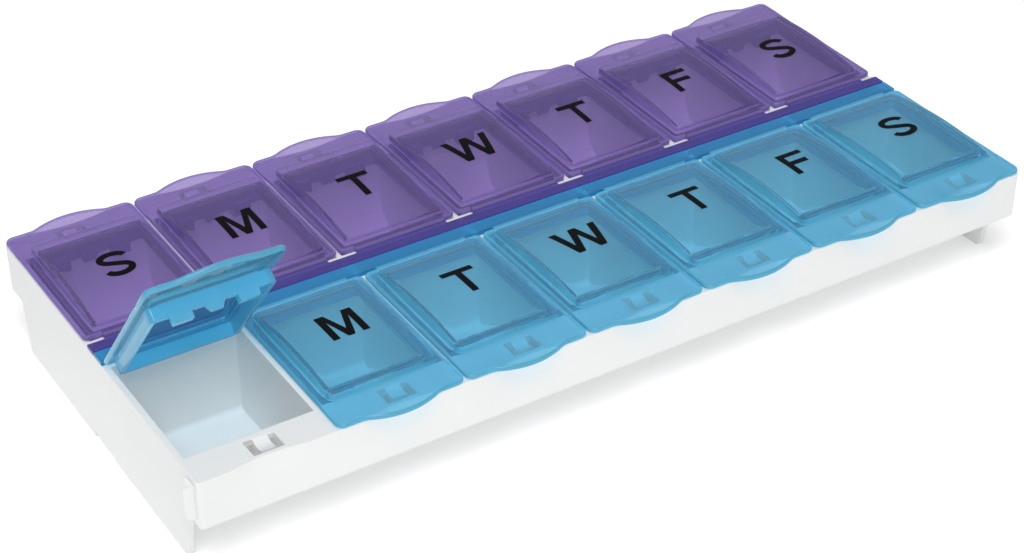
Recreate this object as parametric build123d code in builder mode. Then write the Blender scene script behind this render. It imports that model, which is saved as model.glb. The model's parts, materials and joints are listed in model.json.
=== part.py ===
from build123d import *
from math import cos, radians, sin
import os

# Weekly pill organizer: a white tray with two rows of seven pockets, two coloured hinge strips
# along its spine, and fourteen translucent snap lids.
# X runs along the week, Y from the blue front row to the purple back row, Z up.
# The origin lies on the resting plane under the middle of the tray. All lengths are millimetres.
os.makedirs("parts", exist_ok=True)

days = ["sunday", "monday", "tuesday", "wednesday", "thursday", "friday", "saturday"]
day_count = len(days)
overrun = 2.0

# Pocket grid
day_pitch = 30.0
divider_wall = 1.4
pocket_depth = 34.9
pocket_corner = 1.5
pocket_scoop = 12.0
rim_height = 24.6
floor_wall = 1.4
floor_lift = 0.6
outer_wall = 1.4

# Spine between the two rows
spine_gap = 6.6
rear_wall = 2.0
lug_length = 7.0
lug_wall = 0.7
lug_drop = 0.3

# Ledges that carry the lid latches
ledge_width = 8.7
ledge_top = 1.4
ledge_face = 2.0
ledge_drop = 11.6
slot_width = 6.6
slot_length = 4.8
slot_setback = 2.1
slot_offset = 1.1
hook_width = 3.4
hook_offset = 1.4
hook_wall = 1.2
hook_dip = 0.7
hook_gap = 0.6
finger_width = 17.5
finger_sink = 1.0
finger_raise = 2.0

# End walls that reach down as legs
end_wall = 1.6
end_proud = 0.6
end_corner = 1.0
leg_inset = 6.4
leg_draft = 2.1
leg_corner = 1.0
notch_width = 10.0
notch_height = 1.4
key_width = 3.0
key_height = 8.3
key_stand = 2.0
key_setback = 1.7
key_drop = 1.4
key_bevel = 0.6

# Lids
lid_plate = 1.3
seat_gap = 0.1
hinge_setback = 0.55
hinge_length = 22.6
hinge_clearance = 0.08
hinge_corner_setback = 0.15
lid_gap = 0.4
lid_waist = 0.1
lid_overhang = 0.3
lid_corner = 2.0
lid_rear_corner = 1.5
flange_depth = 8.0
tab_width = 17.0
tab_reach = 2.3
tab_blend = 5.0
crown_side_inset = 2.3
crown_rear_inset = 2.2
crown_rear_rise = 0.9
crown_front_rise = 1.5
crown_rise = 2.6
crown_corner = 0.8
lid_shell = 1.2
skirt_gap = 0.7
skirt_wall = 1.1
skirt_drop = 3.0
skirt_corner = 1.1
catch_width = 4.3
catch_depth = 1.2
catch_height = 3.3
catch_drop = 1.5
catch_spacing = 14.3
tongue_width = 4.3
tongue_tip_share = 0.6
tongue_drop = 1.5

# Hinge strips
strip_plate = 1.0
strip_mid_gap = 0.3
strip_rib = 1.2
strip_rib_drop = 4.0
strip_clearance = 0.15
strip_seat_angle = 45.0

# How far the open lid is turned up
open_angle = 51.0

# Places worked out from the sizes above
tray_half = day_count * day_pitch / 2 + end_proud
rear_out = spine_gap / 2
rear_in = rear_out + rear_wall
front_in = rear_in + pocket_depth
front_out = front_in + outer_wall
ledge_out = front_in + ledge_width
floor_top = floor_lift + floor_wall
scoop_out = pocket_scoop + outer_wall
ledge_bottom = rim_height - ledge_drop
hinge_y = rear_in - hinge_setback
hinge_z = rim_height + seat_gap + lid_plate / 2
seat_radius = lid_plate / 2 + hinge_clearance
strip_top = rim_height + strip_plate
lid_front = ledge_out + lid_overhang - hinge_y
slot_out = ledge_out - slot_setback
slot_in = slot_out - slot_length
hook_tip = slot_out - hook_gap
hook_bottom = rim_height - hook_dip - hook_wall
finger_radius = ((finger_width / 2) ** 2 + finger_sink ** 2) / (2 * finger_sink)
finger_z = rim_height + finger_raise
flange_width = day_pitch - lid_gap
body_width = flange_width - 2 * lid_waist
crown_width = body_width - 2 * crown_side_inset
crown_front = lid_front - flange_depth
skirt_width = day_pitch - divider_wall - 2 * skirt_gap
skirt_rear = hinge_setback + skirt_gap
skirt_front = front_in - hinge_y - skirt_gap
skirt_bottom = -lid_plate / 2 - skirt_drop
end_reach = end_proud + lid_gap / 2
rows = {"blue": -1, "purple": 1}
lug_side = rows["purple"]


def pocket_middle(day):
    """X of the middle of one day's pocket."""
    return (day - (day_count - 1) / 2) * day_pitch


def pocket_sides(day):
    """The two X faces of one day's pocket, between dividers or against an end wall."""
    low = pocket_middle(day) - (day_pitch - divider_wall) / 2
    high = pocket_middle(day) + (day_pitch - divider_wall) / 2
    low = max(low, end_wall - tray_half)
    high = min(high, tray_half - end_wall)
    return low, high


def latch_middle(side, day, offset):
    """X of a latch detail: the back row is the front row turned half round."""
    return pocket_middle(day) - side * offset


def lug_ends(line):
    """The two X ends of the lug on one divider line, cut off flush with the end walls."""
    middle = (line - day_count / 2) * day_pitch
    return max(middle - lug_length / 2, -tray_half), min(middle + lug_length / 2, tray_half)


def row_profile(side):
    """Section of one row before its pockets are cut: scooped block, ledge and ledge face."""
    with BuildSketch() as section:
        with BuildLine():
            Line((side * (front_out - scoop_out), floor_lift), (side * rear_out, floor_lift))
            Line((side * rear_out, floor_lift), (side * rear_out, rim_height))
            Line((side * rear_out, rim_height), (side * ledge_out, rim_height))
            Line((side * ledge_out, rim_height), (side * ledge_out, ledge_bottom))
            Line((side * ledge_out, ledge_bottom), (side * (ledge_out - ledge_face), ledge_bottom))
            Line(
                (side * (ledge_out - ledge_face), ledge_bottom),
                (side * (ledge_out - ledge_face), rim_height - ledge_top),
            )
            Line(
                (side * (ledge_out - ledge_face), rim_height - ledge_top),
                (side * front_out, rim_height - ledge_top),
            )
            Line((side * front_out, rim_height - ledge_top), (side * front_out, floor_lift + scoop_out))
            RadiusArc(
                (side * front_out, floor_lift + scoop_out),
                (side * (front_out - scoop_out), floor_lift),
                side * scoop_out,
            )
        make_face()
    return section.sketch


def pocket_space(side, day):
    """The room inside one pocket, with a scooped front so that a finger slides the pills out."""
    low, high = pocket_sides(day)
    top = rim_height + overrun
    with BuildPart() as space:
        with BuildSketch(Plane.YZ.offset(low)):
            with BuildLine():
                Line(
                    (side * (front_in - pocket_scoop), floor_top),
                    (side * (rear_in + pocket_corner), floor_top),
                )
                RadiusArc(
                    (side * (rear_in + pocket_corner), floor_top),
                    (side * rear_in, floor_top + pocket_corner),
                    side * pocket_corner,
                )
                Line((side * rear_in, floor_top + pocket_corner), (side * rear_in, top))
                Line((side * rear_in, top), (side * front_in, top))
                Line((side * front_in, top), (side * front_in, floor_top + pocket_scoop))
                RadiusArc(
                    (side * front_in, floor_top + pocket_scoop),
                    (side * (front_in - pocket_scoop), floor_top),
                    side * pocket_scoop,
                )
            make_face()
        extrude(amount=high - low)
    return space.part


# Tray
with BuildPart() as tray:
    for side in rows.values():
        with BuildSketch(Plane.YZ.offset(end_wall / 2 - tray_half)):
            add(row_profile(side))
        extrude(amount=2 * tray_half - end_wall)
    for wall_x in (-tray_half, tray_half - end_wall):
        with BuildSketch(Plane.YZ.offset(wall_x)) as end_section:
            with BuildLine():
                Polyline(
                    (0, notch_height),
                    (notch_width / 2, notch_height),
                    (notch_width / 2, 0),
                    (ledge_out - leg_inset - leg_draft, 0),
                    (ledge_out - leg_inset, ledge_bottom),
                    (ledge_out, ledge_bottom),
                    (ledge_out, rim_height),
                    (0, rim_height),
                )
                mirror(about=Plane.YZ)
            make_face()
            leg_points = end_section.vertices().group_by(Axis.Y)[0].sort_by(Axis.X)
            fillet([leg_points[0], leg_points[-1]], radius=leg_corner)
        extrude(amount=end_wall)
    corners = tray.edges().filter_by(Axis.Z)
    corners = corners.sort_by(lambda edge: abs(edge.center().X) + abs(edge.center().Y))
    fillet(corners[-4:], radius=end_corner)
    with BuildSketch(Plane.XY.offset(floor_lift)):
        with GridLocations(day_pitch, 0, day_count - 1, 1):
            Rectangle(divider_wall, spine_gap + rear_wall)
    extrude(amount=rim_height - floor_lift)
    for side in rows.values():
        for day in range(day_count):
            add(pocket_space(side, day), mode=Mode.SUBTRACT)
    with BuildSketch(Plane.XY.offset(rim_height - ledge_top - overrun)):
        for side in rows.values():
            for day in range(day_count):
                with Locations((latch_middle(side, day, slot_offset), side * (slot_out + slot_in) / 2)):
                    Rectangle(slot_width, slot_length)
    extrude(amount=ledge_top + 2 * overrun, mode=Mode.SUBTRACT)
    for side in rows.values():
        for day in range(day_count):
            hook_low = latch_middle(side, day, hook_offset) - hook_width / 2
            with BuildSketch(Plane.YZ.offset(hook_low)):
                with BuildLine():
                    Line((side * slot_in, rim_height), (side * front_out, rim_height))
                    Line((side * front_out, rim_height), (side * front_out, hook_bottom))
                    Line((side * front_out, hook_bottom), (side * hook_tip, hook_bottom))
                    Line((side * hook_tip, hook_bottom), (side * hook_tip, rim_height))
                    ThreePointArc(
                        (side * hook_tip, rim_height),
                        (side * (hook_tip + slot_in) / 2, rim_height - hook_dip),
                        (side * slot_in, rim_height),
                    )
                make_face()
            extrude(amount=hook_width)
            finger_middle = (pocket_middle(day), side * (ledge_out + finger_radius - finger_sink), finger_z)
            with Locations(finger_middle):
                Sphere(finger_radius, mode=Mode.SUBTRACT)
    with BuildSketch(Plane.XY.offset(rim_height - ledge_top)):
        for line in range(day_count + 1):
            low, high = lug_ends(line)
            with Locations(((low + high) / 2, lug_side * (rear_out + lug_wall / 2))):
                Rectangle(high - low, lug_wall)
    extrude(amount=ledge_top + strip_plate - lug_drop)
    with BuildSketch(Plane.YZ.offset(-tray_half - key_stand)):
        with Locations((key_setback + key_width / 2 - ledge_out, rim_height - key_drop - key_height / 2)):
            Rectangle(key_width, key_height)
    extrude(amount=key_stand)
    chamfer(tray.faces().sort_by(Axis.X)[0].edges(), length=key_bevel)
tray.part.label = "tray"
export_step(tray.part, "parts/tray.step")


def hinge_strip(side, label):
    """One coloured strip: a flat band with a round seat for the lid edges and a rib in the spine slot."""
    seat_low_y = hinge_y - seat_radius * cos(radians(strip_seat_angle))
    seat_low_z = hinge_z - seat_radius * sin(radians(strip_seat_angle))
    seat_mid_y = hinge_y - seat_radius * cos(radians(strip_seat_angle / 2))
    seat_mid_z = hinge_z - seat_radius * sin(radians(strip_seat_angle / 2))
    rib_out = rear_out - strip_clearance
    with BuildPart() as strip:
        with BuildSketch(Plane.YZ.offset(-tray_half)):
            with BuildLine():
                Polyline(
                    (side * seat_low_y, seat_low_z),
                    (side * seat_low_y, rim_height),
                    (side * rib_out, rim_height),
                    (side * rib_out, rim_height - strip_rib_drop),
                    (side * (rib_out - strip_rib), rim_height - strip_rib_drop),
                    (side * (rib_out - strip_rib), rim_height),
                    (side * strip_mid_gap / 2, rim_height),
                    (side * strip_mid_gap / 2, strip_top),
                    (side * (hinge_y - seat_radius), strip_top),
                    (side * (hinge_y - seat_radius), hinge_z),
                )
                ThreePointArc(
                    (side * (hinge_y - seat_radius), hinge_z),
                    (side * seat_mid_y, seat_mid_z),
                    (side * seat_low_y, seat_low_z),
                )
            make_face()
        extrude(amount=2 * tray_half)
        if side == lug_side:
            with BuildSketch(Plane.XY.offset(rim_height)):
                for line in range(day_count + 1):
                    low, high = lug_ends(line)
                    with Locations(((low + high) / 2, side * (rib_out + overrun / 2))):
                        Rectangle(high - low + 2 * strip_clearance, overrun)
            extrude(amount=strip_plate, mode=Mode.SUBTRACT)
        with BuildSketch(Plane.XY.offset(rim_height - strip_rib_drop)):
            with GridLocations(day_pitch, 0, day_count - 1, 1):
                Rectangle(divider_wall + 2 * strip_clearance, 2 * rear_out)
            with GridLocations(2 * tray_half, 0, 2, 1):
                Rectangle(2 * (end_wall + strip_clearance), 2 * rear_out)
        extrude(amount=strip_rib_drop, mode=Mode.SUBTRACT)
    strip.part.label = label
    export_step(strip.part, f"parts/{label}.step")


def lid_plane(side, day, opened):
    """Plane of one lid: origin on its hinge axis, x along the axis, y towards its thumb tab."""
    return Plane(
        origin=(pocket_middle(day), side * hinge_y, hinge_z),
        x_dir=(side, 0, 0),
        z_dir=(0, -side * sin(radians(opened)), cos(radians(opened))),
    )


def crown_block(plane, bottom, margin, front):
    """The arched panel of a lid, or with a margin the hollow under it: an arc from hinge to flange."""
    base = lid_plate / 2 - margin
    across = Plane(origin=plane.origin, x_dir=plane.y_dir, z_dir=plane.x_dir)
    rear = crown_rear_inset + margin
    with BuildPart() as block:
        with BuildSketch(across):
            with BuildLine():
                Polyline(
                    (crown_front, base + crown_front_rise),
                    (crown_front, bottom),
                    (crown_rear_inset, bottom),
                    (crown_rear_inset, base + crown_rear_rise),
                )
                ThreePointArc(
                    (crown_rear_inset, base + crown_rear_rise),
                    ((crown_rear_inset + crown_front) / 2, base + crown_rise),
                    (crown_front, base + crown_front_rise),
                )
            make_face()
            with Locations(((rear + front) / 2, 0)):
                Rectangle(front - rear, crown_front, mode=Mode.INTERSECT)
        extrude(amount=crown_width / 2 - margin, both=True)
    return block


def lid_on(plane, label, outer):
    """One lid: plate with flange and tab, round hinge edge, arched panel, skirt, catches and tongue.

    An end lid reaches out to the end wall: outer is then the sign of that way along the hinge, else 0.
    """
    reach = abs(outer) * end_reach
    across = Plane(origin=plane.origin, x_dir=plane.y_dir, z_dir=plane.x_dir)
    upward = Axis(plane.origin, plane.z_dir)
    crown = crown_block(plane, 0, 0, crown_front)
    with crown:
        chamfer(crown.edges().filter_by(upward), length=crown_corner)
    hollow = crown_block(plane, -lid_plate, lid_shell, skirt_front - skirt_wall)
    with BuildPart() as lid:
        with BuildSketch(plane.offset(-lid_plate / 2)) as outline:
            with Locations((outer * reach / 2, (hinge_corner_setback + lid_front) / 2)):
                Rectangle(body_width + reach, lid_front - hinge_corner_setback)
            with Locations((outer * reach / 2, lid_front - flange_depth / 2)):
                Rectangle(flange_width + reach, flange_depth)
            with BuildLine():
                ThreePointArc(
                    (-tab_width / 2, lid_front),
                    (0, lid_front + tab_reach),
                    (tab_width / 2, lid_front),
                )
                Line((tab_width / 2, lid_front), (-tab_width / 2, lid_front))
            make_face()
            front_points = outline.vertices().group_by(Axis.Y)[-1].sort_by(Axis.X)
            fillet([front_points[0], front_points[-1]], radius=lid_corner)
            front_points = outline.vertices().group_by(Axis.Y)[-1].sort_by(Axis.X)
            fillet(front_points[1:-1], radius=tab_blend)
            fillet(outline.vertices().group_by(Axis.Y)[0], radius=lid_rear_corner)
            with Locations((0, hinge_corner_setback)):
                Rectangle(hinge_length, 2 * hinge_corner_setback)
        extrude(amount=lid_plate)
        with BuildSketch(across):
            Circle(lid_plate / 2)
        extrude(amount=hinge_length / 2, both=True)
        add(crown.part)
        with BuildSketch(plane.offset(-lid_plate / 2)) as skirt:
            with Locations((0, (skirt_rear + skirt_front) / 2)):
                Rectangle(skirt_width, skirt_front - skirt_rear)
            chamfer(skirt.vertices(), length=skirt_corner)
            with Locations((0, (skirt_rear + skirt_front) / 2)):
                Rectangle(
                    skirt_width - 2 * skirt_wall,
                    skirt_front - skirt_rear - 2 * skirt_wall,
                    mode=Mode.SUBTRACT,
                )
        extrude(amount=-skirt_drop)
        add(hollow.part, mode=Mode.SUBTRACT)
        with BuildSketch(plane.offset(skirt_bottom - catch_drop)):
            with Locations((0, skirt_front - skirt_wall - catch_depth / 2 + skirt_wall / 2)):
                with GridLocations(catch_spacing, 0, 2, 1):
                    Rectangle(catch_width, catch_depth + skirt_wall)
        extrude(amount=catch_height)
        tongue_place = plane.from_local_coords((0, skirt_front, skirt_bottom))
        with BuildSketch(Plane(origin=tongue_place, x_dir=plane.x_dir, z_dir=-plane.y_dir)):
            with BuildLine():
                Polyline(
                    (-tongue_width / 2, tongue_drop),
                    (-tongue_width / 2, 0),
                    (-tongue_tip_share * tongue_width / 2, -tongue_drop),
                    (tongue_tip_share * tongue_width / 2, -tongue_drop),
                    (tongue_width / 2, 0),
                    (tongue_width / 2, tongue_drop),
                    close=True,
                )
            make_face()
        extrude(amount=skirt_wall)
    lid.part.label = label
    export_step(lid.part, f"parts/{label}.step")


for colour, side in rows.items():
    hinge_strip(side, f"{colour}_hinge_strip")
    for day, day_name in enumerate(days):
        stands_open = colour == "blue" and day == 0
        outer = side * ((day == day_count - 1) - (day == 0))
        lid_on(lid_plane(side, day, open_angle if stands_open else 0), f"{colour}_lid_{day_name}", outer)
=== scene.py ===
# %% [markdown]
# # A weekly pill organizer
# A white moulded tray holds two rows of seven pockets, and every pocket has a clear tinted lid with the
# initial of its day printed on it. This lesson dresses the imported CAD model: the tray and the two hinge
# strips keep their CAD shape with softened edges, and the lids are worked out again as smooth surfaces,
# because clear plastic shows every rounding. The frame comes first, and nothing else is read.

# %% Load the frame
import json
import bmesh
import bpy
import numpy as np
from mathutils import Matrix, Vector


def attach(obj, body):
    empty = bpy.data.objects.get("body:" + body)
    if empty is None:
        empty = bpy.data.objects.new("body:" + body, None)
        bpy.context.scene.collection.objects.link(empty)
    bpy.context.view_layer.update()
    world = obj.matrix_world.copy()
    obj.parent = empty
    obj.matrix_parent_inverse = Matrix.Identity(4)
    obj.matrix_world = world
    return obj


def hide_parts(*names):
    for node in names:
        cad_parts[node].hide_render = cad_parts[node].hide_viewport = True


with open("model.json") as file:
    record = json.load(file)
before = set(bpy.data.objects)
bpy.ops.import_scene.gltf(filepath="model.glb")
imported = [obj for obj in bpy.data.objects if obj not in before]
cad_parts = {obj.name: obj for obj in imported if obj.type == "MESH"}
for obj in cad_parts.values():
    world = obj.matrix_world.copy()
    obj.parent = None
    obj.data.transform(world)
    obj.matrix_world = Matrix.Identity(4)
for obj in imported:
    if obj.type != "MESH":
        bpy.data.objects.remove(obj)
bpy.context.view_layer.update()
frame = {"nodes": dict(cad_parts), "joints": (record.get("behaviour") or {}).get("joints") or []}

MM = 0.001
FIRST_DAY, LAST_DAY = "sunday", "saturday"
hinges = {joint["child"]: joint for joint in frame["joints"]}

# %% [markdown]
# ## From arrays to meshes
# Every new lid is a set of rings: each ring is one closed line of points, and the skin runs from ring to
# ring, with a single point at each end. All the points are made as whole arrays, so one helper can turn any
# such set into a mesh. If the skin comes out inside out, its signed volume is negative and the faces turn.

# %% Helpers that place an object, skin a stack of rings and shade a piece
def placed(name, data):
    """A new object at the origin that holds the given mesh, lamp or camera."""
    holder = bpy.data.objects.new(name, data)
    bpy.context.scene.collection.objects.link(holder)
    return holder


def skin_rings(name, rings, first_pole, last_pole):
    """Quads between neighbouring rings and a fan of triangles at each pole, with the faces outwards."""
    count, around = rings.shape[:2]
    points = np.concatenate([rings.reshape(-1, 3), [first_pole, last_pole]])
    ring, step = np.meshgrid(np.arange(count - 1), np.arange(around), indexing="ij")
    here = ring * around + step
    beside = ring * around + (step + 1) % around
    quads = np.stack([here, beside, beside + around, here + around], axis=-1).reshape(-1, 4)
    edge = np.arange(around)
    after = (edge + 1) % around
    last = (count - 1) * around
    fans = np.concatenate([
        np.stack([np.full(around, count * around), after, edge], axis=-1),
        np.stack([np.full(around, count * around + 1), last + edge, last + after], axis=-1),
    ])
    triangles = np.concatenate([quads[:, [0, 1, 2]], quads[:, [0, 2, 3]], fans])
    corners = points[triangles]
    volume = np.einsum("ij,ij->i", corners[:, 0], np.cross(corners[:, 1], corners[:, 2])).sum() / 6
    if volume < 0:
        quads, fans = quads[:, ::-1], fans[:, ::-1]
    mesh = bpy.data.meshes.new(name)
    mesh.from_pydata(points.tolist(), [], quads.tolist() + fans.tolist())
    return placed(name, mesh)


def shade(piece, sharp_degrees):
    """Smooth shading, broken only where two faces meet at more than the given angle."""
    piece.data.shade_smooth()
    piece.data.set_sharp_from_angle(angle=np.radians(sharp_degrees))


# %% [markdown]
# ## The outline of a lid
# Seen from above, every level of a lid is a rectangle with rounded corners: the panel, the plate, the skirt
# that dips into the pocket, and the hollow under the panel. The rings must line up, so every rectangle is
# drawn with the same stations: fixed places along the front, where the thumb tab, the catches and the tongue
# sit, shares of the length along the sides and the rear, and equal angles round the corners.

# %% Rounded rectangles with matching stations
PLATE = 1.3
FLANGE_HALF, WAIST, FLANGE_START, LID_FRONT = 14.8, 0.1, 36.45, 44.45
REAR_SET, REAR_CORNER, FRONT_CORNER = 0.15, 1.5, 2.0
HINGE_HALF, END_REACH = 11.3, 0.8
CATCH_MIDDLE, CATCH_WIDTH, CATCH_DEPTH, CATCH_TOP, CATCH_MARGIN = 7.15, 4.3, 1.2, -1.85, 0.3
TONGUE_HALF, TONGUE_TIP, TONGUE_DROP = 2.15, 1.29, 1.5
STEP, HINGE_STEP_SHARE, WAIST_STEP_SHARE = 0.03, 0.002, 0.008
FRONT_STATIONS, SIDE_STATIONS, REAR_STATIONS, CORNER_STATIONS = 12, 16, 10, 8

fixed_half = CATCH_MIDDLE + CATCH_WIDTH / 2 + CATCH_MARGIN
catch_edges = CATCH_MIDDLE + np.array([-1, 1]) * CATCH_WIDTH / 2
right_front = np.sort(np.concatenate([
    np.linspace(0, fixed_half, FRONT_STATIONS)[1:],
    catch_edges - STEP, catch_edges, [TONGUE_TIP, TONGUE_HALF],
]))
front_fixed = np.concatenate([-right_front[::-1], [0], right_front])
front_outer_shares = np.array([0.35, 0.7, 1.0])
plate_rear_half = (FLANGE_HALF - REAR_CORNER) * (1 - WAIST / FLANGE_HALF)
hinge_share = HINGE_HALF / plate_rear_half
right_rear_shares = np.sort(np.concatenate([
    np.linspace(0, 1, REAR_STATIONS)[1:],
    [hinge_share - HINGE_STEP_SHARE, hinge_share + HINGE_STEP_SHARE],
]))
rear_shares = np.concatenate([right_rear_shares[::-1], [0], -right_rear_shares])
side_front, side_rear = LID_FRONT - FRONT_CORNER, REAR_SET + REAR_CORNER
waist_share = (side_front - FLANGE_START) / (side_front - side_rear)
side_shares = np.sort(np.concatenate([
    np.linspace(0, 1, SIDE_STATIONS),
    waist_share + np.array([-1, 0, 1]) * WAIST_STEP_SHARE,
]))
corner_angles = np.radians(np.linspace(0, 90, CORNER_STATIONS)[1:-1])


def rounded_ring(half, rear, front, rear_corner, front_corner):
    """Points (x, y) round a rectangle: along the front from left to right, then clockwise from above."""
    front_end, rear_end = half - front_corner, half - rear_corner
    outer = fixed_half + front_outer_shares * (front_end - fixed_half)
    front_x = np.concatenate([-outer[::-1], front_fixed, outer])
    side_y = front - front_corner + side_shares * (rear + rear_corner - front + front_corner)
    sine, cosine = np.sin(corner_angles), np.cos(corner_angles)
    front_arc = np.stack([front_end + front_corner * sine, front - front_corner * (1 - cosine)], axis=-1)
    rear_arc = np.stack([rear_end + rear_corner * cosine, rear + rear_corner * (1 - sine)], axis=-1)
    return np.concatenate([
        np.stack([front_x, np.full_like(front_x, front)], axis=-1),
        front_arc,
        np.stack([np.full_like(side_y, half), side_y], axis=-1),
        rear_arc,
        np.stack([rear_shares * rear_end, np.full_like(rear_shares, rear)], axis=-1),
        rear_arc[::-1] * (-1, 1),
        np.stack([np.full_like(side_y, -half), side_y[::-1]], axis=-1),
        front_arc[::-1] * (-1, 1),
    ])


front_count = len(front_fixed) + 2 * len(front_outer_shares)
rear_first = front_count + 2 * len(corner_angles) + len(side_shares)
around = rear_first + len(rear_shares) + len(side_shares) + 2 * len(corner_angles)
station = np.arange(around)
on_front = station < front_count
on_rear = (station >= rear_first) & (station < rear_first + len(rear_shares))
print(around, "stations round a lid,", front_count, "of them along its front")

# %% [markdown]
# ## The heights of a lid
# The panel is arched like the lid of a chest, and the front edge of the plate swells to a thumb tab. Both
# could be sculpted, but each is the arc of one circle, so a formula gives them exactly. Lengths are
# millimetres from the hinge axis: x along it, y to the tab, z up.

# %% Arch, tab and levels
CROWN_HALF, CROWN_REAR, CROWN_FRONT, CROWN_CORNER = 12.4, 2.2, 36.45, 1.2
REAR_RISE, RISE, FRONT_RISE = 0.9, 2.6, 1.5
TAB_WIDTH, TAB_REACH, TAB_BLEND = 17.0, 2.3, 0.3
crown_middle = (CROWN_REAR + CROWN_FRONT) / 2


def arch(y):
    """Height of the panel over the plate: the circle through its rear, middle and front heights."""
    heights = ((CROWN_REAR, REAR_RISE), (crown_middle, RISE), (CROWN_FRONT, FRONT_RISE))
    rows = np.array([[along, height, 1] for along, height in heights])
    centre_y, centre_h, rest = np.linalg.solve(rows * (2, 2, 1), (rows[:, :2] ** 2).sum(axis=1))
    return centre_h + np.sqrt(rest + centre_y ** 2 + centre_h ** 2 - (y - centre_y) ** 2)


def tab(x):
    """How far the front edge stands out: the arc of the thumb tab, blended into the straight edge."""
    radius = ((TAB_WIDTH / 2) ** 2 + TAB_REACH ** 2) / (2 * TAB_REACH)
    arc = np.sqrt(radius ** 2 - x ** 2) + TAB_REACH - radius
    soft = (arc + np.sqrt(arc ** 2 + TAB_BLEND ** 2)) / 2
    return np.clip(soft - TAB_BLEND ** 2 / (4 * TAB_REACH), 0, TAB_REACH)


def level(xy, z):
    """A ring of points (x, y) lifted to a height, which may differ from point to point."""
    return np.concatenate([xy, np.broadcast_to(z, len(xy))[:, None]], axis=1)


print("panel rises", REAR_RISE, "to", RISE, "mm, tab reaches out", TAB_REACH, "mm")

# %% [markdown]
# ## The rings of a lid
# A lid could be a box with modifiers, but its hinge edge is a round rod and its skirt carries two catches and
# a tongue, so the skin is written as one profile that runs from the middle of the panel outwards, over the
# edge of the plate, down and up the skirt, and back under the panel to the middle.

# %% Panel and plate
TOP_ROUND, BASE_ROUND, EDGE_ROUND = 0.4, 0.3, 0.6
WAIST_LEAD, WAIST_BLEND = 0.1, 0.4
POLE_SHARE, PANEL_RINGS = 0.04, 14


def crown_outline(grow):
    """The outline of the panel's foot, grown outwards on every side."""
    corner = CROWN_CORNER + grow
    return rounded_ring(CROWN_HALF + grow, CROWN_REAR - grow, CROWN_FRONT + grow, corner, corner)


def crown_rings():
    """From the middle of the panel to its foot: scaled outlines, a rounded edge, the wall and a fillet."""
    middle = np.array([0, crown_middle])
    rings = []
    for share in np.linspace(POLE_SHARE, 1, PANEL_RINGS):
        xy = middle + share * (crown_outline(-TOP_ROUND) - middle)
        rings.append(level(xy, PLATE / 2 + arch(xy[:, 1])))
    for angle in np.radians([22.5, 45, 67.5, 90]):
        xy = crown_outline(-TOP_ROUND * (1 - np.sin(angle)))
        rings.append(level(xy, PLATE / 2 + arch(xy[:, 1]) - TOP_ROUND * (1 - np.cos(angle))))
    for angle in np.radians([0, 30, 60, 90]):
        xy = crown_outline(BASE_ROUND * (1 - np.cos(angle)))
        rings.append(level(xy, PLATE / 2 + BASE_ROUND * (1 - np.sin(angle))))
    return rings


def plate_rings(outer):
    """Round the edge of the plate: quarter rounds above and below, and the half-round rod at the hinge.

    On an end lid the side that outer points to is drawn out to the end of the tray, past the hinge rod.
    """
    rings = []
    turns = np.radians([0, 22.5, 45, 67.5, 90, 90, 112.5, 135, 157.5, 180])
    rod_turns = np.linspace(0, np.pi, len(turns))
    flat = PLATE / 2 - EDGE_ROUND
    rod_end = HINGE_HALF + STEP
    for turn, rod_turn, side in zip(turns, rod_turns, np.repeat([1, -1], len(turns) // 2)):
        inset = EDGE_ROUND * (1 - np.sin(turn))
        xy = rounded_ring(FLANGE_HALF - inset, REAR_SET + inset, LID_FRONT - inset,
                          REAR_CORNER - inset, FRONT_CORNER - inset)
        narrow = np.clip((FLANGE_START + WAIST_LEAD - xy[:, 1]) / WAIST_BLEND, 0, 1)
        xy[:, 0] *= 1 - WAIST / FLANGE_HALF * narrow ** 2 * (3 - 2 * narrow)
        beyond = np.clip((outer * xy[:, 0] - rod_end) / (plate_rear_half - rod_end), 0, 1)
        xy[:, 1] += np.where(on_front, tab(np.where(on_front, xy[:, 0], 0)), 0)
        z = np.full(around, side * flat + EDGE_ROUND * np.cos(turn))
        rod = on_rear & (np.abs(xy[:, 0]) < HINGE_HALF)
        xy[:, 1] = np.where(rod, -PLATE / 2 * np.sin(rod_turn), xy[:, 1])
        xy[:, 0] += outer * END_REACH * beyond
        rings.append(level(xy, np.where(rod, PLATE / 2 * np.cos(rod_turn), z)))
    return rings


print(len(crown_rings()), "rings on the panel,", len(plate_rings(0)), "round the edge of the plate")

# %% Skirt and hollow
SKIRT_HALF, SKIRT_REAR, SKIRT_FRONT, SKIRT_WALL, SKIRT_BOTTOM = 13.6, 1.25, 34.75, 1.1, -3.65
SKIRT_CORNER, LEAST_CORNER, RIM_ROUND = 1.1, 0.4, 0.2
HOLLOW_HALF, HOLLOW_REAR, HOLLOW_CORNER, SHELL = 11.2, 3.4, 0.7, 1.2
CEILING_RINGS = 12
hollow_front = SKIRT_FRONT - SKIRT_WALL
hollow_middle = (HOLLOW_REAR + hollow_front) / 2


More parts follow.
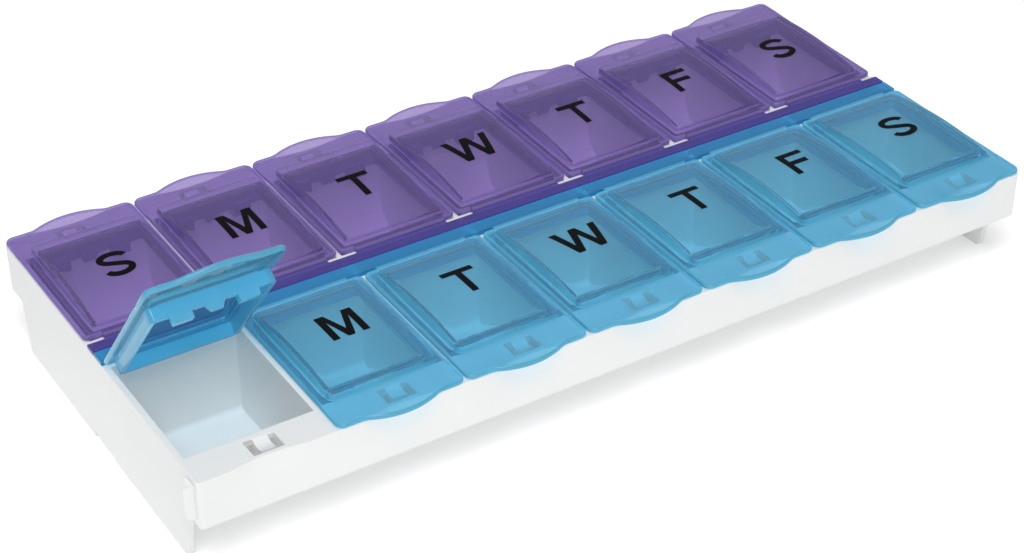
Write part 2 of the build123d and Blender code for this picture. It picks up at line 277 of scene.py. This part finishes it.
def skirt_rings():
    """Down the outside of the skirt, round its rim and up the inside.

    The front rim drops at the catches and the tongue, and the catches stand out on the inside.
    """
    x = rounded_ring(SKIRT_HALF, SKIRT_REAR, SKIRT_FRONT, SKIRT_CORNER, SKIRT_CORNER)[:, 0]
    catch = on_front & (np.abs(np.abs(x) - CATCH_MIDDLE) < CATCH_WIDTH / 2 + STEP / 2)
    slope = np.clip((TONGUE_HALF - np.abs(x)) / (TONGUE_HALF - TONGUE_TIP), 0, 1)
    drop = TONGUE_DROP * np.maximum(catch, np.where(on_front, slope, 0))
    soft = RIM_ROUND * (1 - np.sqrt(0.5))
    steps = [
        (0, -PLATE / 2, 0),
        (0, SKIRT_BOTTOM + RIM_ROUND, 1),
        (soft, SKIRT_BOTTOM + soft, 1),
        (RIM_ROUND, SKIRT_BOTTOM, 1),
        (SKIRT_WALL - RIM_ROUND, SKIRT_BOTTOM, 1),
        (SKIRT_WALL - soft, SKIRT_BOTTOM + soft, 1),
        (SKIRT_WALL, SKIRT_BOTTOM + RIM_ROUND, 1),
        (SKIRT_WALL, CATCH_TOP - STEP, 0),
        (SKIRT_WALL, CATCH_TOP, 0),
        (SKIRT_WALL, -PLATE / 2 - STEP, 0),
    ]
    rings = []
    for inset, z, dropped in steps:
        corner = max(SKIRT_CORNER - inset, LEAST_CORNER)
        xy = rounded_ring(SKIRT_HALF - inset, SKIRT_REAR + inset, SKIRT_FRONT - inset, corner, corner)
        if inset > SKIRT_WALL / 2 and z < CATCH_TOP:
            xy[:, 1] -= CATCH_DEPTH * catch
        rings.append(level(xy, z - dropped * drop))
    return rings


def hollow_rings():
    """Under the panel: over the ledge, up the wall, round the corner and across the ceiling."""
    middle = np.array([0, hollow_middle])
    ceiling = PLATE / 2 - SHELL
    foot = rounded_ring(HOLLOW_HALF, HOLLOW_REAR, hollow_front, HOLLOW_CORNER, HOLLOW_CORNER)
    rings = [level(foot, -PLATE / 2 + STEP)]
    for angle in np.radians([0, 45, 90]):
        inset = BASE_ROUND * (1 - np.cos(angle))
        corner = HOLLOW_CORNER - inset
        xy = rounded_ring(HOLLOW_HALF - inset, HOLLOW_REAR + inset, hollow_front - inset, corner, corner)
        rings.append(level(xy, ceiling + arch(xy[:, 1]) - BASE_ROUND * (1 - np.sin(angle))))
    for share in np.linspace(1, POLE_SHARE, CEILING_RINGS)[1:]:
        inner = middle + share * (xy - middle)
        rings.append(level(inner, ceiling + arch(inner[:, 1])))
    return rings


def lid_surface(outer):
    """All the rings of one lid, from the middle of its panel to the middle of its ceiling."""
    return np.stack(crown_rings() + plate_rings(outer) + skirt_rings() + hollow_rings())


lid_poles = np.array([
    [0, crown_middle, PLATE / 2 + arch(crown_middle)],
    [0, hollow_middle, PLATE / 2 - SHELL + arch(hollow_middle)],
])
sample = lid_surface(0)
print("lid surface:", len(sample), "rings, from", sample.min((0, 1)), "to", sample.max((0, 1)), "mm")

# %% [markdown]
# ## Putting the lids on their hinges
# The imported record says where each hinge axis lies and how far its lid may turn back. A lid that can turn
# back by some degrees stands open by that angle at rest, which is how the Sunday lid in front is found. The
# same rings are carried to every hinge, so the fourteen lids are one shape in fourteen places, and only the
# end lids are drawn out on one side.

# %% Fourteen lids
LID_SHARP_DEGREES = 35


def on_lid(points, hinge):
    """Millimetres on a lid to metres in the frame: along its axis, out to its tab and up from its plate."""
    side = np.sign(hinge["axis"][0])
    opened = np.radians(-hinge["range_deg"][0])
    along = np.array([side, 0, 0])
    up = np.array([0, -side * np.sin(opened), np.cos(opened)])
    return np.array(hinge["pos_m"]) + MM * (points @ np.stack([along, np.cross(up, along), up]))


lids = {}
for name, hinge in hinges.items():
    first_pole, last_pole = on_lid(lid_poles, hinge)
    outer = np.sign(hinge["axis"][0]) * (name.endswith(LAST_DAY) - name.endswith(FIRST_DAY))
    lids[name] = skin_rings(name + "_clear", on_lid(lid_surface(outer), hinge), first_pole, last_pole)
    shade(lids[name], LID_SHARP_DEGREES)
    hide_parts(name)
    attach(lids[name], name)
print(len(lids), "lids of", len(lids["blue_lid_monday"].data.polygons), "faces")

# %% [markdown]
# ## Printed initials
# Each panel carries the initial of its day in bold plain capitals, printed in one flat layer of ink. A text
# object would depend on a font, so the letters are drawn: straight ones as outlines, and the S as a band of
# even width along two bowls and the straight between them.

# %% Letter outlines
CAP, STROKE = 9.3, 1.6
BOWL_SHARE, BOWL_POINTS = 0.225, 26
top, low, bar = CAP / 2, -CAP / 2, CAP / 2 - STROKE
stem, arm, tip = STROKE / 2, 0.9, 0.01


def mirrored(half):
    """A closed outline from its right half, listed from one end to the other, and its mirror image."""
    half = np.array(half)
    return np.concatenate([half, half[::-1] * (-1, 1)])


def letter_s(wide, terminal):
    """A band along a bowl that runs tangent into a line through the middle, and the same turned round."""
    rise = BOWL_SHARE * CAP
    tall = CAP / 2 - STROKE / 2 - rise
    turn = np.linspace(np.radians(terminal), np.pi + np.arcsin(tall / rise), BOWL_POINTS)
    bowl = np.stack([wide * np.cos(turn), rise + tall * np.sin(turn)], axis=-1)
    line = np.concatenate([bowl, -bowl[::-1]])
    along = np.gradient(line, axis=0)
    across = np.stack([-along[:, 1], along[:, 0]], axis=-1) / np.linalg.norm(along, axis=1)[:, None]
    return np.concatenate([line + across * STROKE / 2, (line - across * STROKE / 2)[::-1]])


def letter_f(left, right, short):
    """A stem with a long arm at the top and a shorter one above the middle."""
    inner = left + STROKE
    return np.array([
        (left, low), (left, top), (right, top), (right, bar), (inner, bar), (inner, arm), (short, arm),
        (short, arm - STROKE), (inner, arm - STROKE), (inner, low),
    ])


def letter_m(half, shoulder, valley, notch):
    """Two stems and a V between them: its valley is given from the middle, its foot is one stroke wide."""
    inner = half - STROKE
    return mirrored([
        (tip, valley), (shoulder, top), (half, top), (half, low), (inner, low), (inner, notch), (stem, low),
    ])


def letter_t(half):
    """A bar on a stem."""
    return mirrored([(half, top), (half, bar), (stem, bar), (stem, low)])


def letter_w(peak, dip, depth, arm_from, arm_to, foot_from, foot_to):
    """Two V strokes side by side, with a flat peak between them and a dip inside each V."""
    return mirrored([
        (peak, top), (dip, -depth), (arm_from, top), (arm_to, top),
        (foot_to, low), (foot_from, low), (tip, depth),
    ])


outlines = {
    "S": letter_s(wide=2.85, terminal=10),
    "M": letter_m(half=4.3, shoulder=2.1, valley=-2.0, notch=2.2),
    "T": letter_t(half=3.9),
    "W": letter_w(peak=0.95, dip=2.75, depth=1.9, arm_from=4.2, arm_to=5.95, foot_from=1.9, foot_to=3.7),
    "F": letter_f(left=-3.3, right=3.5, short=2.7),
}
print({letter: len(outline) for letter, outline in outlines.items()}, "points in the outlines")

# %% [markdown]
# ## Ink on an arch
# A flat letter would sink into the arched panel or float over it. So the outline is filled, cut into narrow
# slices across the panel, laid on the arch, and thickened outwards by Solidify to the depth of a printed
# film.

# %% Fourteen initials
INK, INK_LIFT_SHARE, SLICE = 0.04, 0.25, 0.77
PRINT_SHIFT = {"blue": (0.8, 1.9), "purple": (0.3, -0.7)}


def printed_letter(name, outline, hinge):
    """The outline filled, sliced along the panel, laid on its arch and thickened to a film of ink."""
    side = np.sign(hinge["axis"][0])
    flat = (outline + PRINT_SHIFT[name.split("_")[0]]) * side + (0, crown_middle)
    work = bmesh.new()
    work.faces.new([work.verts.new((x, y, 0)) for x, y in flat])
    bmesh.ops.triangulate(work, faces=work.faces[:])
    for cut in np.arange(flat[:, 1].min(), flat[:, 1].max(), SLICE)[1:]:
        every = work.verts[:] + work.edges[:] + work.faces[:]
        bmesh.ops.bisect_plane(work, geom=every, plane_co=(0, cut, 0), plane_no=(0, 1, 0))
    bmesh.ops.remove_doubles(work, verts=work.verts[:], dist=INK)
    mesh = bpy.data.meshes.new(name)
    work.to_mesh(mesh)
    work.free()
    points = np.empty(3 * len(mesh.vertices))
    mesh.vertices.foreach_get("co", points)
    points = points.reshape(-1, 3)
    points[:, 2] = PLATE / 2 + arch(points[:, 1]) + INK * INK_LIFT_SHARE
    mesh.vertices.foreach_set("co", on_lid(points, hinge).ravel())
    mesh.update()
    normals = np.empty(3 * len(mesh.polygons))
    mesh.polygons.foreach_get("normal", normals)
    if normals[2::3].sum() < 0:
        mesh.flip_normals()
    piece = placed(name, mesh)
    film = piece.modifiers.new("ink film", "SOLIDIFY")
    film.thickness, film.offset = INK * MM, 1
    return piece


letters = {}
for name, hinge in hinges.items():
    colour, day = name.split("_lid_")
    letters[name] = printed_letter(f"{colour}_initial_{day}", outlines[day[0].upper()], hinge)
    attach(letters[name], name)
print(len(letters), "initials,", CAP, "mm tall")

# %% [markdown]
# ## Softened tray and strips
# The tray and the two strips are right as they come from the CAD, but a mould never leaves a razor edge, and
# it is the small round that catches the light. A copy of each is merged into one skin, its flat faces are
# joined, and a Bevel modifier rounds the edges that are given a weight: those sharper than thirty degrees.
# The underside of the ledges is spared, because rounding the slots from below would close them.

# %% Copies with rounded edges
TRAY_ROUND, STRIP_ROUND, LEDGE_UNDERSIDE = 0.25, 0.15, (22.2, 23.5)
MERGE, FLAT_DEGREES, SHARP_DEGREES = 0.002, 0.5, 30


def softened(node, width, spared=(0, 0)):
    """A merged copy of a CAD node with its sharp edges rounded, unless they touch the spared heights."""
    work = bmesh.new()
    work.from_mesh(frame["nodes"][node].data)
    bmesh.ops.remove_doubles(work, verts=work.verts[:], dist=MERGE * MM)
    flat_limit = np.radians(FLAT_DEGREES)
    bmesh.ops.dissolve_limit(work, angle_limit=flat_limit, verts=work.verts[:], edges=work.edges[:])
    sharp = np.array([edge.calc_face_angle(0) for edge in work.edges]) > np.radians(SHARP_DEGREES)
    mesh = bpy.data.meshes.new(node + "_moulded")
    work.to_mesh(mesh)
    work.free()
    points, ends = np.empty(3 * len(mesh.vertices)), np.empty(2 * len(mesh.edges), dtype=int)
    mesh.vertices.foreach_get("co", points)
    mesh.edges.foreach_get("vertices", ends)
    heights = points[2::3][ends.reshape(-1, 2)] / MM
    touching = ((heights > spared[0]) & (heights < spared[1])).any(axis=1)
    weights = mesh.attributes.new("bevel_weight_edge", "FLOAT", "EDGE")
    weights.data.foreach_set("value", (sharp & ~touching).astype(np.float32))
    piece = placed(node + "_moulded", mesh)
    shade(piece, SHARP_DEGREES)
    rounding = piece.modifiers.new("moulded edges", "BEVEL")
    rounding.width, rounding.segments, rounding.limit_method = width * MM, 2, "WEIGHT"
    rounding.use_clamp_overlap, rounding.harden_normals = False, True
    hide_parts(node)
    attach(piece, "tray")
    print(piece.name, len(mesh.polygons), "faces,", int((sharp & ~touching).sum()), "rounded edges")
    return piece


tray = softened("tray", TRAY_ROUND, spared=LEDGE_UNDERSIDE)
strips = {colour: softened(colour + "_hinge_strip", STRIP_ROUND) for colour in ("blue", "purple")}

# %% [markdown]
# ## Colours and nodes
# Colours are picked as the eye sees them, as sRGB hex values, and turned to linear light by one function.
# One more function adds a shader node, sets it and links it, so that every material reads as a short list.

# %% Helpers for materials
def linear(code):
    """An sRGB hex code to linear red, green and blue, with full alpha."""
    value = np.array([int(code[at:at + 2], 16) for at in (1, 3, 5)]) / 255
    return (*np.where(value <= 0.04045, value / 12.92, ((value + 0.055) / 1.055) ** 2.4), 1.0)


def add(tree, kind, inputs, **settings):
    """One shader node: its settings, and its inputs as values or as the sockets that feed them."""
    node = tree.nodes.new(kind)
    for name, value in settings.items():
        setattr(node, name, value)
    for name, value in inputs.items():
        if isinstance(value, bpy.types.NodeSocket):
            tree.links.new(value, node.inputs[name])
        else:
            node.inputs[name].default_value = value
    return node


def per_metre(size_mm):
    """The scale of a pattern whose features are that many millimetres apart."""
    return 1 / (size_mm * MM)


def new_material(name):
    """An empty node material, with its tree."""
    material = bpy.data.materials.new(name)
    material.use_nodes = True
    material.node_tree.nodes.clear()
    return material, material.node_tree


print("middle grey in linear light:", round(linear("#808080")[0], 3))

# %% [markdown]
# ## White polypropylene
# The tray is injection moulded polypropylene with a satin face: a neutral white that is never quite even,
# with a fine grain from the spark-eroded mould. The colour drifts a little over a few centimetres, the gloss
# over a few millimetres, and the grain is drawn at half a millimetre, coarser than the real one, so that it
# shows.

# %% Moulded white
def moulded_white():
    """Opaque white: one noise mixes two whites, one sets the gloss and one lifts the grain."""
    material, tree = new_material("polypropylene_white_moulded_satin")
    place = add(tree, "ShaderNodeTexCoord", {}).outputs["Object"]
    drift = add(tree, "ShaderNodeTexNoise", {"Vector": place, "Scale": per_metre(24), "Detail": 3})
    colour = add(tree, "ShaderNodeMix", {
        0: drift.outputs["Fac"], 6: linear("#ECECEB"), 7: linear("#E6E8E9"),
    }, data_type="RGBA")
    gloss = add(tree, "ShaderNodeTexNoise", {"Vector": place, "Scale": per_metre(4)})
    rough = add(tree, "ShaderNodeMapRange", {"Value": gloss.outputs["Fac"], "To Min": 0.36, "To Max": 0.48})
    grain = add(tree, "ShaderNodeTexNoise", {"Vector": place, "Scale": per_metre(0.5), "Detail": 2})
    bump = add(tree, "ShaderNodeBump", {
        "Height": grain.outputs["Fac"], "Strength": 0.06, "Distance": 0.05 * MM,
    })
    skin = add(tree, "ShaderNodeBsdfPrincipled", {
        "Base Color": colour.outputs[2], "Roughness": rough.outputs["Result"],
        "Normal": bump.outputs["Normal"], "IOR": 1.49,
    })
    add(tree, "ShaderNodeOutputMaterial", {"Surface": skin.outputs["BSDF"]})
    return material


tray.data.materials.append(moulded_white())
print("tray:", tray.data.materials[0].name)

# %% [markdown]
# ## Clear tinted polypropylene
# The lids and strips are the same plastic without the white: clear, polished, with a dye all through it and
# the slight milkiness that polypropylene keeps. The tint counts once for each wall that the light crosses, so
# a lid over the white ledge looks pale and one over a pocket looks deep. The index of refraction is below the
# plastic's own 1.49, because with that the thin walls trap the light and turn dark. A glass shader alone
# would throw black shadows, so shadow rays meet a plain transparent skin, and its tint is halfway to grey, so
# that stray light does not turn the white pockets too blue.

# %% Tinted clear plastic
def tinted_clear(name, pale, deep, milky):
    """Clear plastic between two tints, with a faint ripple; milky is the share of light that it scatters."""
    material, tree = new_material(name)
    place = add(tree, "ShaderNodeTexCoord", {}).outputs["Object"]
    drift = add(tree, "ShaderNodeTexNoise", {"Vector": place, "Scale": per_metre(14), "Detail": 2})
    colour = add(tree, "ShaderNodeMix", {
        0: drift.outputs["Fac"], 6: linear(pale), 7: linear(deep),
    }, data_type="RGBA")
    ripple = add(tree, "ShaderNodeTexNoise", {"Vector": place, "Scale": per_metre(3)})
    bump = add(tree, "ShaderNodeBump", {
        "Height": ripple.outputs["Fac"], "Strength": 0.05, "Distance": 0.1 * MM,
    })
    clear = add(tree, "ShaderNodeBsdfPrincipled", {
        "Base Color": colour.outputs[2], "Roughness": 0.05, "IOR": 1.33, "Specular IOR Level": 0.75,
        "Transmission Weight": 1 - milky, "Normal": bump.outputs["Normal"],
    })
    wall = (np.array(linear(pale)) + linear(deep)) / 2
    bare = add(tree, "ShaderNodeBsdfTransparent", {"Color": np.sqrt((wall + wall[:3].mean()) / 2)})
    ray = add(tree, "ShaderNodeLightPath", {})
    skin = add(tree, "ShaderNodeMixShader", {
        0: ray.outputs["Is Shadow Ray"], 1: clear.outputs["BSDF"], 2: bare.outputs["BSDF"],
    })
    add(tree, "ShaderNodeOutputMaterial", {"Surface": skin.outputs["Shader"]})
    return material


clear_plastics = {
    "blue_lid": tinted_clear("polypropylene_blue_clear_moulded", "#8FCCE3", "#89C7DF", 0.14),
    "purple_lid": tinted_clear("polypropylene_purple_clear_moulded", "#AE9DCF", "#A897CB", 0.11),
    # painted glow: milkier and stronger copies of the lid plastics for the lid edges, in place of the light
    # that runs out of the plates
    "blue_rim": tinted_clear("polypropylene_blue_clear_painted_glow", "#74CCEA", "#6CC6E6", 0.48),
    "purple_rim": tinted_clear("polypropylene_purple_clear_painted_glow", "#A08CD0", "#9886CC", 0.4),
    # painted glow on the strips: a deeper and milkier tint than the lids, which gives them the saturated
    # colour that light passing through them would give, since the dark gap under them lets little light
    # through
    "blue_strip": tinted_clear("polypropylene_blue_deep_painted_glow", "#4AB5E9", "#44AFE3", 0.35),
    "purple_strip": tinted_clear("polypropylene_purple_deep_painted_glow", "#7164C1", "#6A5EBC", 0.35),
}
print(len(clear_plastics), "clear plastics")

# %% [markdown]
# ## Glowing edges
# Light that is caught inside a plate runs along it and comes out where the plate ends, so the edges of a
# clear lid glow. Following that light would need far more samples, so the glow is painted instead: the wall
# of the panel, the edge of the plate and the skirt get a milkier and stronger tint of the same plastic, a
# painted glow. The faces of a lid are in the order of its rings, so the number of a face tells where it is.

# %% Plastics on lids and strips
WALL_RINGS = 5
ring_counts = [len(rings) for rings in (crown_rings(), plate_rings(0), skirt_rings())]
plate_first, skirt_first, hollow_first = np.cumsum(ring_counts)
# the rings that carry the painted glow: the wall of the panel, the edge of the plate and the skirt
painted_glow_rings = np.r_[
    plate_first - WALL_RINGS:plate_first - 1, plate_first:skirt_first - 1, skirt_first:hollow_first - 1,
]
for name, lid in lids.items():
    colour = name.split("_")[0]
    lid.data.materials.append(clear_plastics[colour + "_lid"])
    lid.data.materials.append(clear_plastics[colour + "_rim"])
    ring = np.arange(len(lid.data.polygons)) // around
    lid.data.polygons.foreach_set("material_index", np.isin(ring, painted_glow_rings).astype(np.int32))
for colour, strip in strips.items():
    strip.data.materials.append(clear_plastics[colour + "_strip"])
print(len(lids) + len(strips), "pieces of clear plastic,", len(painted_glow_rings) * around, "edge faces on each lid")

# %% [markdown]
# ## Printing ink
# The initials are screen printed: a film of black ink, slightly cool, not quite even where it was squeezed
# through the mesh, and a little duller than the plastic under it.

# %% Ink
def printed_ink():
    """Opaque black: one noise mixes two blacks and sets the gloss."""
    material, tree = new_material("screen_print_ink_black")
    place = add(tree, "ShaderNodeTexCoord", {}).outputs["Object"]
    cover = add(tree, "ShaderNodeTexNoise", {"Vector": place, "Scale": per_metre(0.6), "Detail": 2})
    colour = add(tree, "ShaderNodeMix", {
        0: cover.outputs["Fac"], 6: linear("#030304"), 7: linear("#08080A"),
    }, data_type="RGBA")
    rough = add(tree, "ShaderNodeMapRange", {"Value": cover.outputs["Fac"], "To Min": 0.4, "To Max": 0.55})
    film = add(tree, "ShaderNodeBsdfPrincipled", {
        "Base Color": colour.outputs[2], "Roughness": rough.outputs["Result"], "IOR": 1.5,
        "Specular IOR Level": 0.1,
    })
    add(tree, "ShaderNodeOutputMaterial", {"Surface": film.outputs["BSDF"]})
    return material


ink = printed_ink()
for letter in letters.values():
    letter.data.materials.append(ink)
print("ink on", len(letters), "initials")

# %% [markdown]
# ## Studio floor and light
# The organizer stands on a light table: white paper that also glows a little, so the ground stays white and
# light reaches the slots from below. The light from all round is even and weak, and one large lamp, high in
# front and to the left, gives the shapes their shade and the lids their sheen.

# %% Floor, world and lamp
REACH, PAPER_GLOW, WORLD_GLOW = 3.0, 0.25, 0.36
LAMP_PLACE, LAMP_SIZE, LAMP_WATTS = (-0.32, -0.48, 1.06), 0.7, 10.4

floor_mesh = bpy.data.meshes.new("floor")
corners = [(-REACH, -REACH, 0), (REACH, -REACH, 0), (REACH, REACH, 0), (-REACH, REACH, 0)]
floor_mesh.from_pydata(corners, [], [(0, 1, 2, 3)])
paper, paper_tree = new_material("paper_sweep_white")
fibre = add(paper_tree, "ShaderNodeTexNoise", {"Scale": per_metre(8)})
paper_colour = add(paper_tree, "ShaderNodeMix", {
    0: fibre.outputs["Fac"], 6: linear("#FBFBFB"), 7: linear("#FDFDFD"),
}, data_type="RGBA")
sheet = add(paper_tree, "ShaderNodeBsdfPrincipled", {
    "Base Color": paper_colour.outputs[2], "Roughness": 0.9,
    "Emission Color": linear("#FFFFFF"), "Emission Strength": PAPER_GLOW,
})
add(paper_tree, "ShaderNodeOutputMaterial", {"Surface": sheet.outputs["BSDF"]})
floor_mesh.materials.append(paper)
floor = placed("floor", floor_mesh)

world = bpy.data.worlds.new("studio")
world.use_nodes = True
world.node_tree.nodes["Background"].inputs["Color"].default_value = (1, 1, 1, 1)
world.node_tree.nodes["Background"].inputs["Strength"].default_value = WORLD_GLOW
bpy.context.scene.world = world
bpy.context.scene.view_settings.view_transform = "Standard"

lamp_data = bpy.data.lights.new("high_front_lamp", "AREA")
lamp_data.shape, lamp_data.size, lamp_data.energy = "SQUARE", LAMP_SIZE, LAMP_WATTS
lamp = placed("high_front_lamp", lamp_data)
lamp.location = LAMP_PLACE
lamp.rotation_euler = Vector(LAMP_PLACE).to_track_quat("Z", "Y").to_euler()
print("lamp of", LAMP_WATTS, "W at", LAMP_PLACE, "m, looking at the origin")

# %% [markdown]
# ## Camera
# The camera was found by fitting the gaps between the lids to the photograph, so it repeats its angle,
# distance and lens. It looks at a point over the tray, from the direction that leads back to it.

# %% Camera
LENS, SENSOR, CLIP_START = 78.43, 36, 0.01
LOOK_AT, LOOK_BACK, DISTANCE = (-18.115, -23.359, 26.0), (-0.4396, -0.6963, 0.5674), 481.9

camera_data = bpy.data.cameras.new("camera")
camera_data.lens, camera_data.sensor_width, camera_data.clip_start = LENS, SENSOR, CLIP_START
camera = placed("camera", camera_data)
back = Vector(LOOK_BACK).normalized()
camera.location = Vector(LOOK_AT) * MM + back * DISTANCE * MM
camera.rotation_euler = back.to_track_quat("Z", "Y").to_euler()
bpy.context.scene.camera = camera
print("camera at", [round(value, 4) for value in camera.location])
